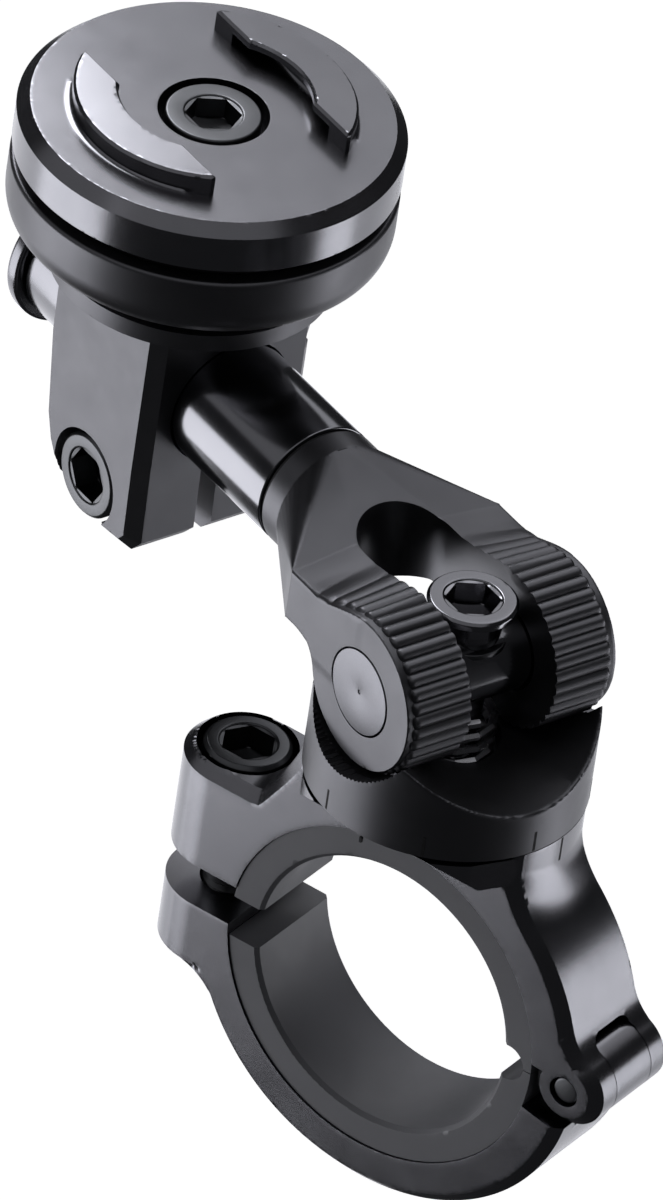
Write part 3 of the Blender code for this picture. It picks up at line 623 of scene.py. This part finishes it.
def block_field(p):
    x, y, z = p.T
    outline = polygon(x, z, [(-57.3, 56.0), (-57.0, 40.4), (-55.9, 31.2), (-54.9, 28.3), (-52.9, 25.3),
                             (-45.0, 23.6), (-41.0, 24.0), (-39.6, 25.6), (-39.8, 33.7), (-39.8, 56.0)])
    body = chamfer_intersection(outline, np.abs(y) - BLOCK_HALF_WIDTH, 1.3)
    body = most(body, z - 50.6)
    flange = most(np.hypot(x - HEAD_X, y) - 13.7, 50.1 - z, z - 51.9)
    bolt = np.hypot(x + 48.0, z - 28.25)
    slit = most(np.abs(y + 1.2) - 1.0, z - TUBE_Z)
    relief = most(8.3 - y, np.abs(z - 43.9) - 0.8)
    cuts = least(np.hypot(y, z - TUBE_Z) - TUBE_R - 0.15, slit, relief, bolt - 2.8,
                 most(bolt - 4.85, y + 4.0))
    return most(least(body, flange), -cuts)


def head_plate_field(p):
    x, y, z = p.T
    u, v = x - HEAD_X, np.abs(y)
    r = np.hypot(u, y)
    disc = chamfer_intersection(r - DISC_R + 0.04, z - HEAD_FACE, 1.18)
    disc = most(disc, 63.1 - z)
    hollow = most(r - 9.3, np.abs(u) - 5.2)
    tab = most(r - 13.5, 7.5 - v, np.abs(u) - 10.9, -hollow)
    tab = chamfer_intersection(tab, z - HEAD_FACE - 2.25 + TAB_SLOPE * (v - 7.5), 0.25)
    tab = most(tab, HEAD_FACE - 1 - z)
    foot = most(r - 13.3, 10.1 - v, np.abs(u) - 10.3)
    foot = most(foot, HEAD_FACE - 1 - z, z - HEAD_FACE - 1)
    under = most(np.abs(u) - 8.1, v - 10.2, z - HEAD_FACE - 1.35, HEAD_FACE + 0.01 - z)
    tab = most(tab, -under)
    body = least(round_union(disc, foot, 0.8), least(disc, tab))
    well = least(most(r - 5.35, 64.2 - z), r - 2.8)
    return most(body, -well)


def build_head():
    block = contoured("head_block_casting", block_field, (-58, -14.2, 23), (-34, 14.2, 52.3), step=0.22)
    finish(block, "block", "head_block", BLACK_MATTE, "head_block")
    pinch = cap_screw("pinch_screw", (-48.0, -9.3, 28.25), (0, -1, 0), 4.6, 18.0, head_r=4.3, bevel=0.3)
    finish(pinch, "pinch_screw", "pinch_bolt", STEEL, "pinch_bolt")
    centre = (HEAD_X, 0, 0)
    profile = [(DISC_R - 0.3, 61.54), (DISC_R - 0.04, 61.25), (DISC_R - 0.04, 57.4), (18.2, 56.2), (17.3, 55.2),
               (16.2, 54.4), (14.9, 53.75), (12.3, 53.6), (12.3, 52.7), (3.0, 52.7), (3.0, 61.54)]
    base = turned("head_lower_disc", profile, centre, radius=0.6)
    finish(base, "head", "head_base", BLACK_MATTE, "head_base")
    ring = turned("damper_gasket", [(16.9, 63.08), (16.9, 61.56), (8, 61.56), (8, 63.08)], centre)
    finish(ring, "head", "damper_ring", SEAL, "damper_ring")
    plate = contoured("bayonet_plate", head_plate_field, (-67.2, -18.8, 62.8), (-29.5, 18.8, 70.6),
                      step=0.22)
    finish(plate, "head", "head_plate", BLACK_SATIN, "head_plate")
    bolt = cap_screw("head_screw", (HEAD_X, 0, 67.95), (0, 0, 1), 3.4, 19.2, head_r=4.6, bevel=0.15,
                     socket=2.4)
    finish(bolt, "head_screw", "head_bolt", STEEL, "head_bolt")


# ---------------------------------------------------------------- materials

def new_material(name):
    """A material with its Principled shader, node list and link function."""
    mat = bpy.data.materials.new(name)
    mat.use_nodes = True
    nodes, links = mat.node_tree.nodes, mat.node_tree.links
    return mat, nodes, links.new, nodes["Principled BSDF"]


def noise(nodes, link, coordinates, scale, detail=3.0, roughness=0.6):
    """Noise texture node in object coordinates."""
    node = nodes.new("ShaderNodeTexNoise")
    node.inputs["Scale"].default_value = scale
    node.inputs["Detail"].default_value = detail
    node.inputs["Roughness"].default_value = roughness
    link(coordinates, node.inputs["Vector"])
    return node.outputs["Fac"]


def ramp(nodes, link, factor, low, high, start=0.3, end=0.7):
    """Colour ramp between two colours."""
    node = nodes.new("ShaderNodeValToRGB")
    node.color_ramp.elements[0].position = start
    node.color_ramp.elements[1].position = end
    node.color_ramp.elements[0].color = (*low, 1)
    node.color_ramp.elements[1].color = (*high, 1)
    link(factor, node.inputs["Fac"])
    return node.outputs["Color"]


def spread(nodes, link, factor, low, high):
    """Map a 0 to 1 value to a range."""
    node = nodes.new("ShaderNodeMapRange")
    node.inputs["From Min"].default_value = 0.3
    node.inputs["From Max"].default_value = 0.7
    node.inputs["To Min"].default_value = low
    node.inputs["To Max"].default_value = high
    link(factor, node.inputs["Value"])
    return node.outputs["Result"]


def bumped(nodes, link, height, strength, distance):
    """Bump node on a height."""
    node = nodes.new("ShaderNodeBump")
    node.inputs["Strength"].default_value = strength
    node.inputs["Distance"].default_value = distance
    link(height, node.inputs["Height"])
    return node.outputs["Normal"]


def surface(name, dark, light, metallic, rough_low, rough_high, grain=9000.0, bump=0.12, anisotropic=0.0):
    """Fine-grained finish: mottled colour, uneven roughness and a bead-blasted bump."""
    mat, nodes, link, shader = new_material(name)
    place_node = nodes.new("ShaderNodeTexCoord")
    spot = place_node.outputs["Object"]
    broad = noise(nodes, link, spot, 90.0)
    fine = noise(nodes, link, spot, grain, 2.0)
    link(ramp(nodes, link, broad, dark, light), shader.inputs["Base Color"])
    link(spread(nodes, link, noise(nodes, link, spot, 260.0), rough_low, rough_high),
         shader.inputs["Roughness"])
    link(bumped(nodes, link, fine, bump, 0.00002), shader.inputs["Normal"])
    shader.inputs["Metallic"].default_value = metallic
    shader.inputs["Anisotropic"].default_value = anisotropic
    return mat


def finish(obj, body, slot, mat, *nodes):
    """Give a piece its material and body, and hide the CAD nodes that it stands for. `slot` is not used."""
    obj.data.materials.clear()
    obj.data.materials.append(mat)
    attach(obj, body)
    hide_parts(*nodes)
    return obj


def turned_face():
    """Lathe-turned end face: fine-grained colour and roughness, with an anisotropic highlight."""
    mat, nodes, link, shader = new_material("turned_face")
    place_node = nodes.new("ShaderNodeTexCoord")
    rings = nodes.new("ShaderNodeTexNoise")
    rings.inputs["Scale"].default_value = 5200.0
    link(place_node.outputs["Object"], rings.inputs["Vector"])
    link(ramp(nodes, link, rings.outputs["Fac"], (0.17, 0.17, 0.18), (0.2, 0.2, 0.212)),
         shader.inputs["Base Color"])
    link(spread(nodes, link, rings.outputs["Fac"], 0.32, 0.4), shader.inputs["Roughness"])
    shader.inputs["Metallic"].default_value = 1.0
    shader.inputs["Anisotropic"].default_value = 0.8
    return mat


BLACK_SATIN = surface("black_anodised_satin", (0.18, 0.18, 0.19), (0.2, 0.2, 0.21), 1.0, 0.21, 0.25)
BLACK_MATTE = surface("black_anodised_matte", (0.108, 0.108, 0.114), (0.12, 0.12, 0.126), 1.0, 0.38, 0.43)
BLACK_GLOSS = surface("black_anodised_gloss", (0.19, 0.19, 0.2), (0.21, 0.21, 0.22), 1.0, 0.15, 0.18, bump=0.05)
STEEL = surface("black_oxide_steel", (0.09, 0.092, 0.095), (0.11, 0.112, 0.116), 1.0, 0.3, 0.36)
LINER = surface("liner_nylon", (0.12, 0.121, 0.127), (0.14, 0.141, 0.148), 0.0, 0.45, 0.55, grain=3500.0, bump=0.3)
SEAL = surface("seal_rubber", (0.006, 0.006, 0.0065), (0.01, 0.01, 0.0105), 0.0, 0.65, 0.75, grain=3000.0, bump=0.3)
ENGRAVED = surface("engraved_line", (0.003, 0.003, 0.003), (0.006, 0.006, 0.006), 0.0, 0.7, 0.8)
BRASS = surface("turned_brass", (0.5, 0.38, 0.17), (0.6, 0.46, 0.22), 1.0, 0.3, 0.38)
SPRING = surface("spring_steel", (0.42, 0.42, 0.43), (0.5, 0.5, 0.51), 1.0, 0.25, 0.32)
TURNED_FACE = turned_face()


def dress_hidden_nodes():
    """Better materials for the CAD pieces that stay."""
    finishes = {"clamp_washer": STEEL, "pinch_washer": STEEL, "swivel_insert": BRASS,
                "clamp_insert": STEEL, "pinch_insert": BRASS, "head_insert": BRASS,
                "swivel_friction_ring": LINER, "lift_spring": SPRING, "tube_sleeve": LINER,
                "head_washer": SEAL}
    for name, mat in finishes.items():
        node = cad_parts[name]
        for material_slot in node.material_slots:
            material_slot.material = mat


# ---------------------------------------------------------------- camera, light and floor

AZIMUTH, ELEVATION, ROLL = math.radians(31.151), math.radians(36.672), math.radians(8.605)
DISTANCE = 2.8278                # metres
AIM_RIGHT, AIM_UP = -0.007972, 0.034623


def view_axes():
    """Unit vectors to the camera's right, up and back."""
    back = Vector((math.sin(AZIMUTH) * math.cos(ELEVATION), -math.cos(AZIMUTH) * math.cos(ELEVATION),
                   math.sin(ELEVATION)))
    level = Vector((math.cos(AZIMUTH), math.sin(AZIMUTH), 0))
    up = back.cross(level)
    right = level * math.cos(ROLL) + up * math.sin(ROLL)
    return right, up * math.cos(ROLL) - level * math.sin(ROLL), back


def build_camera():
    """Long lens at the photograph's viewing angle."""
    right, up, back = view_axes()
    data = bpy.data.cameras.new("camera")
    data.sensor_width = 36.0
    data.lens = 900.0
    data.clip_end = 50.0
    camera = bpy.data.objects.new("camera", data)
    turn = Matrix((right, up, back)).transposed().to_4x4()
    camera.matrix_world = Matrix.Translation(right * AIM_RIGHT + up * AIM_UP + back * DISTANCE) @ turn
    bpy.context.scene.collection.objects.link(camera)
    bpy.context.scene.camera = camera


def panel(name, azimuth, elevation, width, height, radiance, distance=0.5):
    """Soft box round the object; the azimuth turns from the camera's right towards the camera."""
    turn, lift = math.radians(azimuth), math.radians(elevation)
    right = Vector((math.cos(AZIMUTH), math.sin(AZIMUTH), 0))
    near = Vector((math.sin(AZIMUTH), -math.cos(AZIMUTH), 0))
    direction = (right * math.cos(turn) + near * math.sin(turn)) * math.cos(lift)
    direction += Vector((0, 0, math.sin(lift)))
    data = bpy.data.lights.new(name, "AREA")
    data.shape = "RECTANGLE"
    data.size, data.size_y = width, height
    data.energy = radiance * math.pi * width * height
    data.color = (0.94, 0.945, 1.0)
    lamp = bpy.data.objects.new(name, data)
    lamp.rotation_mode = "QUATERNION"
    lamp.rotation_quaternion = direction.to_track_quat("Z", "Y")
    lamp.location = Vector((-0.02, 0.0, 0.03)) + direction * distance
    lamp.visible_camera = False
    bpy.context.scene.collection.objects.link(lamp)


def build_studio():
    """White sweep, dim surround, and soft boxes at the left, back, right and overhead."""
    panel("left_box", 174, -21, 0.42, 0.34, 3.3)
    panel("back_low_box", 245, -38, 0.75, 0.3, 1.3)
    panel("back_right_box", 318, -38, 0.4, 0.3, 0.9)
    panel("right_box", 358, -16, 0.2, 0.4, 2.8)
    panel("back_top_box", 262, 37, 0.5, 0.32, 0.9)
    panel("top_left_box", 241, 45, 0.08, 0.14, 6.5, distance=0.2)
    panel("high_box", 310, 64, 0.45, 0.4, 0.9)
    panel("overhead_box", 95, 62, 0.7, 0.45, 0.32)
    panel("left_fill", 175, 40, 0.4, 0.3, 0.3)

    world = bpy.data.worlds.new("studio")
    world.use_nodes = True
    bpy.context.scene.world = world
    nodes, links = world.node_tree.nodes, world.node_tree.links
    sky = nodes["Background"]
    sky.inputs["Color"].default_value = (0.9, 0.92, 1.0, 1)
    sky.inputs["Strength"].default_value = 0.035
    white = nodes.new("ShaderNodeBackground")
    white.inputs["Color"].default_value = (1, 1, 1, 1)
    seen = nodes.new("ShaderNodeLightPath")
    mix = nodes.new("ShaderNodeMixShader")
    links.new(seen.outputs["Is Camera Ray"], mix.inputs["Fac"])
    links.new(sky.outputs["Background"], mix.inputs[1])
    links.new(white.outputs["Background"], mix.inputs[2])
    links.new(mix.outputs["Shader"], nodes["World Output"].inputs["Surface"])
    build_floor()
    bpy.context.scene.view_settings.view_transform = "Standard"


def build_floor():
    """Plain white floor, well below the mount."""
    mesh = bpy.data.meshes.new("floor")
    half, depth = 12.0, -0.9
    mesh.from_pydata([(-half, -half, depth), (half, -half, depth), (half, half, depth), (-half, half, depth)],
                     [], [(0, 1, 2, 3)])
    floor = bpy.data.objects.new("floor", mesh)
    bpy.context.scene.collection.objects.link(floor)
    mat, nodes, link, shader = new_material("white_sweep")
    shader.inputs["Base Color"].default_value = (1, 1, 1, 1)
    shader.inputs["Emission Color"].default_value = (1, 1, 1, 1)
    shader.inputs["Emission Strength"].default_value = 1.0
    mesh.materials.append(mat)
    floor.visible_glossy = False
    floor.visible_diffuse = False


build_clamp()
build_swivel()
build_arm()
build_head()
dress_hidden_nodes()
build_camera()
build_studio()
